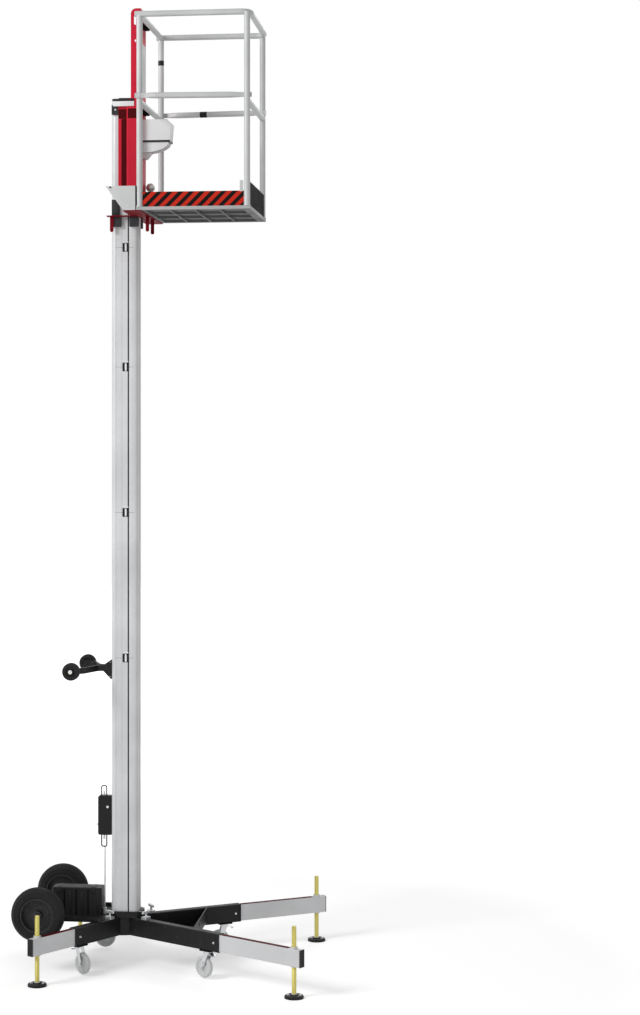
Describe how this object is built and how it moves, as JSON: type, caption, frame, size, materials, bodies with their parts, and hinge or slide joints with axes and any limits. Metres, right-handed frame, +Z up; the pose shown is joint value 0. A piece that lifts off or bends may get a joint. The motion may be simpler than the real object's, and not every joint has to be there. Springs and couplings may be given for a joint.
{
  "type": "vertical mast lift",
  "caption": "One-person guarded platform on a carriage that climbs a sectional aluminium mast, on a steel cross frame with telescopic outriggers, screw jacks and casters",
  "frame": {"origin": "On the floor under the middle of the whole machine, with the platform raised", "axes": "+Z up, +X from the mast to the platform, +Y to the far side"},
  "size_m": [1.6996, 1.435, 5.5],
  "materials": {
    "black_steel": "satin black paint",
    "red_steel": "gloss crimson paint",
    "mast_aluminium": "satin anodised",
    "rail_aluminium": "brushed, satin",
    "zinc_yellow": "yellow zinc plate",
    "zinc_steel": "bright zinc plate",
    "caster_chrome": "polished",
    "caster_grey": "light grey moulding",
    "pad_plastic": "black moulding",
    "box_plastic": "grained black moulding",
    "tyre_rubber": "matt black",
    "roller_rubber": "matt dark grey",
    "slider_plastic": "black low-friction plastic",
    "control_grey": "light grey paint",
    "stripe_paint": "red-orange and black stripes",
    "board_black": "matt black paint",
    "deck_aluminium": "dull dark plate"
  },
  "bodies": {
    "base": {"base_hub": "black_steel", "base_arms": "black_steel", "caster_plates": "black_steel", "rear_cradle": "black_steel", "battery_box": "box_plastic", "wheel_axle": "zinc_steel", "mast_section_1": "mast_aluminium", "mast_section_2": "mast_aluminium", "mast_section_3": "mast_aluminium", "mast_section_4": "mast_aluminium", "mast_section_5": "mast_aluminium", "joint_latches": "black_steel", "mast_cap": "slider_plastic", "roller_yoke": "black_steel", "line_tensioner": "black_steel", "tension_line": "zinc_steel", "foot_clamps": "zinc_steel"},
    "carriage": {"carriage_channel": "red_steel", "carriage_foot": "red_steel", "guide_shoes": "slider_plastic", "platform_gussets": "rail_aluminium", "platform_deck": "deck_aluminium", "side_toe_boards": "stripe_paint", "end_toe_boards": "board_black", "basket_posts": "rail_aluminium", "top_rail_sides": "rail_aluminium", "top_rail_ends": "rail_aluminium", "side_mid_rails": "rail_aluminium", "cross_mid_rails": "rail_aluminium", "control_box": "control_grey", "toe_knob": "zinc_steel", "rail_clamps": "board_black"},
    "outrigger_front_near": {"outrigger_front_near": "mast_aluminium"},
    "jack_front_near": {"jack_screw_front_near": "zinc_yellow", "jack_pad_front_near": "pad_plastic"},
    "fork_front_near": {"caster_fork_front_near": "caster_chrome"},
    "wheel_front_near": {"caster_wheel_front_near": "caster_grey"},
    "outrigger_front_far": {"outrigger_front_far": "mast_aluminium"},
    "jack_front_far": {"jack_screw_front_far": "zinc_yellow", "jack_pad_front_far": "pad_plastic"},
    "fork_front_far": {"caster_fork_front_far": "caster_chrome"},
    "wheel_front_far": {"caster_wheel_front_far": "caster_grey"},
    "outrigger_rear_near": {"outrigger_rear_near": "mast_aluminium"},
    "jack_rear_near": {"jack_screw_rear_near": "zinc_yellow", "jack_pad_rear_near": "pad_plastic"},
    "fork_rear_near": {"caster_fork_rear_near": "caster_chrome"},
    "wheel_rear_near": {"caster_wheel_rear_near": "caster_grey"},
    "outrigger_rear_far": {"outrigger_rear_far": "mast_aluminium"},
    "jack_rear_far": {"jack_screw_rear_far": "zinc_yellow", "jack_pad_rear_far": "pad_plastic"},
    "fork_rear_far": {"caster_fork_rear_far": "caster_chrome"},
    "wheel_rear_far": {"caster_wheel_rear_far": "caster_grey"},
    "transport_wheel_near": {"transport_tyre_near": "tyre_rubber", "transport_rim_near": "box_plastic"},
    "loading_roller_near": {"loading_roller_near": "roller_rubber"},
    "transport_wheel_far": {"transport_tyre_far": "tyre_rubber", "transport_rim_far": "box_plastic"},
    "loading_roller_far": {"loading_roller_far": "roller_rubber"}
  },
  "joints": [
    {"name": "carriage_lift", "type": "slide", "parent": "base", "child": "carriage", "axis": [0, 0, 1], "range_m": [-3.785, 0]},
    {"name": "slide_front_near", "type": "slide", "parent": "base", "child": "outrigger_front_near", "axis": [0.8462, -0.5329, 0], "range_m": [-0.44, 0]},
    {"name": "jack_front_near", "type": "slide", "parent": "outrigger_front_near", "child": "jack_front_near", "axis": [0, 0, 1], "range_m": [-0.1, 0.115]},
    {"name": "swivel_front_near", "type": "hinge", "parent": "base", "child": "fork_front_near", "pos_m": [0.2745, -0.33838, 0.163], "axis": [0, 0, 1], "continuous": true},
    {"name": "caster_roll_front_near", "type": "hinge", "parent": "fork_front_near", "child": "wheel_front_near", "pos_m": [0.24992, -0.32117, 0.068], "axis": [-0.5736, -0.8192, 0], "continuous": true},
    {"name": "slide_front_far", "type": "slide", "parent": "base", "child": "outrigger_front_far", "axis": [0.8462, 0.5329, 0], "range_m": [-0.44, 0]},
    {"name": "jack_front_far", "type": "slide", "parent": "outrigger_front_far", "child": "jack_front_far", "axis": [0, 0, 1], "range_m": [-0.1, 0.115]},
    {"name": "swivel_front_far", "type": "hinge", "parent": "base", "child": "fork_front_far", "pos_m": [0.2745, 0.33838, 0.163], "axis": [0, 0, 1], "continuous": true},
    {"name": "caster_roll_front_far", "type": "hinge", "parent": "fork_front_far", "child": "wheel_front_far", "pos_m": [0.24631, 0.32811, 0.068], "axis": [0.342, -0.9397, 0], "continuous": true},
    {"name": "slide_rear_near", "type": "slide", "parent": "base", "child": "outrigger_rear_near", "axis": [-0.5402, -0.8415, 0], "range_m": [-0.185, 0]},
    {"name": "jack_rear_near", "type": "slide", "parent": "outrigger_rear_near", "child": "jack_rear_near", "axis": [0, 0, 1], "range_m": [-0.1, 0.115]},
    {"name": "swivel_rear_near", "type": "hinge", "parent": "base", "child": "fork_rear_near", "pos_m": [-0.46326, -0.3122, 0.163], "axis": [0, 0, 1], "continuous": true},
    {"name": "caster_roll_rear_near", "type": "hinge", "parent": "fork_rear_near", "child": "wheel_rear_near", "pos_m": [-0.44028, -0.33148, 0.068], "axis": [0.6428, 0.766, 0], "continuous": true},
    {"name": "slide_rear_far", "type": "slide", "parent": "base", "child": "outrigger_rear_far", "axis": [-0.5402, 0.8415, 0], "range_m": [-0.185, 0]},
    {"name": "jack_rear_far", "type": "slide", "parent": "outrigger_rear_far", "child": "jack_rear_far", "axis": [0, 0, 1], "range_m": [-0.1, 0.115]},
    {"name": "swivel_rear_far", "type": "hinge", "parent": "base", "child": "fork_rear_far", "pos_m": [-0.46326, 0.3122, 0.163], "axis": [0, 0, 1], "continuous": true},
    {"name": "caster_roll_rear_far", "type": "hinge", "parent": "fork_rear_far", "child": "wheel_rear_far", "pos_m": [-0.43507, 0.32246, 0.068], "axis": [-0.342, 0.9397, 0], "continuous": true},
    {"name": "wheel_roll_near", "type": "hinge", "parent": "base", "child": "transport_wheel_near", "pos_m": [-0.69583, -0.341, 0.338], "axis": [0, 1, 0], "continuous": true},
    {"name": "roller_roll_near", "type": "hinge", "parent": "base", "child": "loading_roller_near", "pos_m": [-0.52583, -0.244, 1.703], "axis": [0, 1, 0], "continuous": true},
    {"name": "wheel_roll_far", "type": "hinge", "parent": "base", "child": "transport_wheel_far", "pos_m": [-0.69583, 0.341, 0.338], "axis": [0, 1, 0], "continuous": true},
    {"name": "roller_roll_far", "type": "hinge", "parent": "base", "child": "loading_roller_far", "pos_m": [-0.52583, 0.244, 1.703], "axis": [0, 1, 0], "continuous": true}
  ]
}
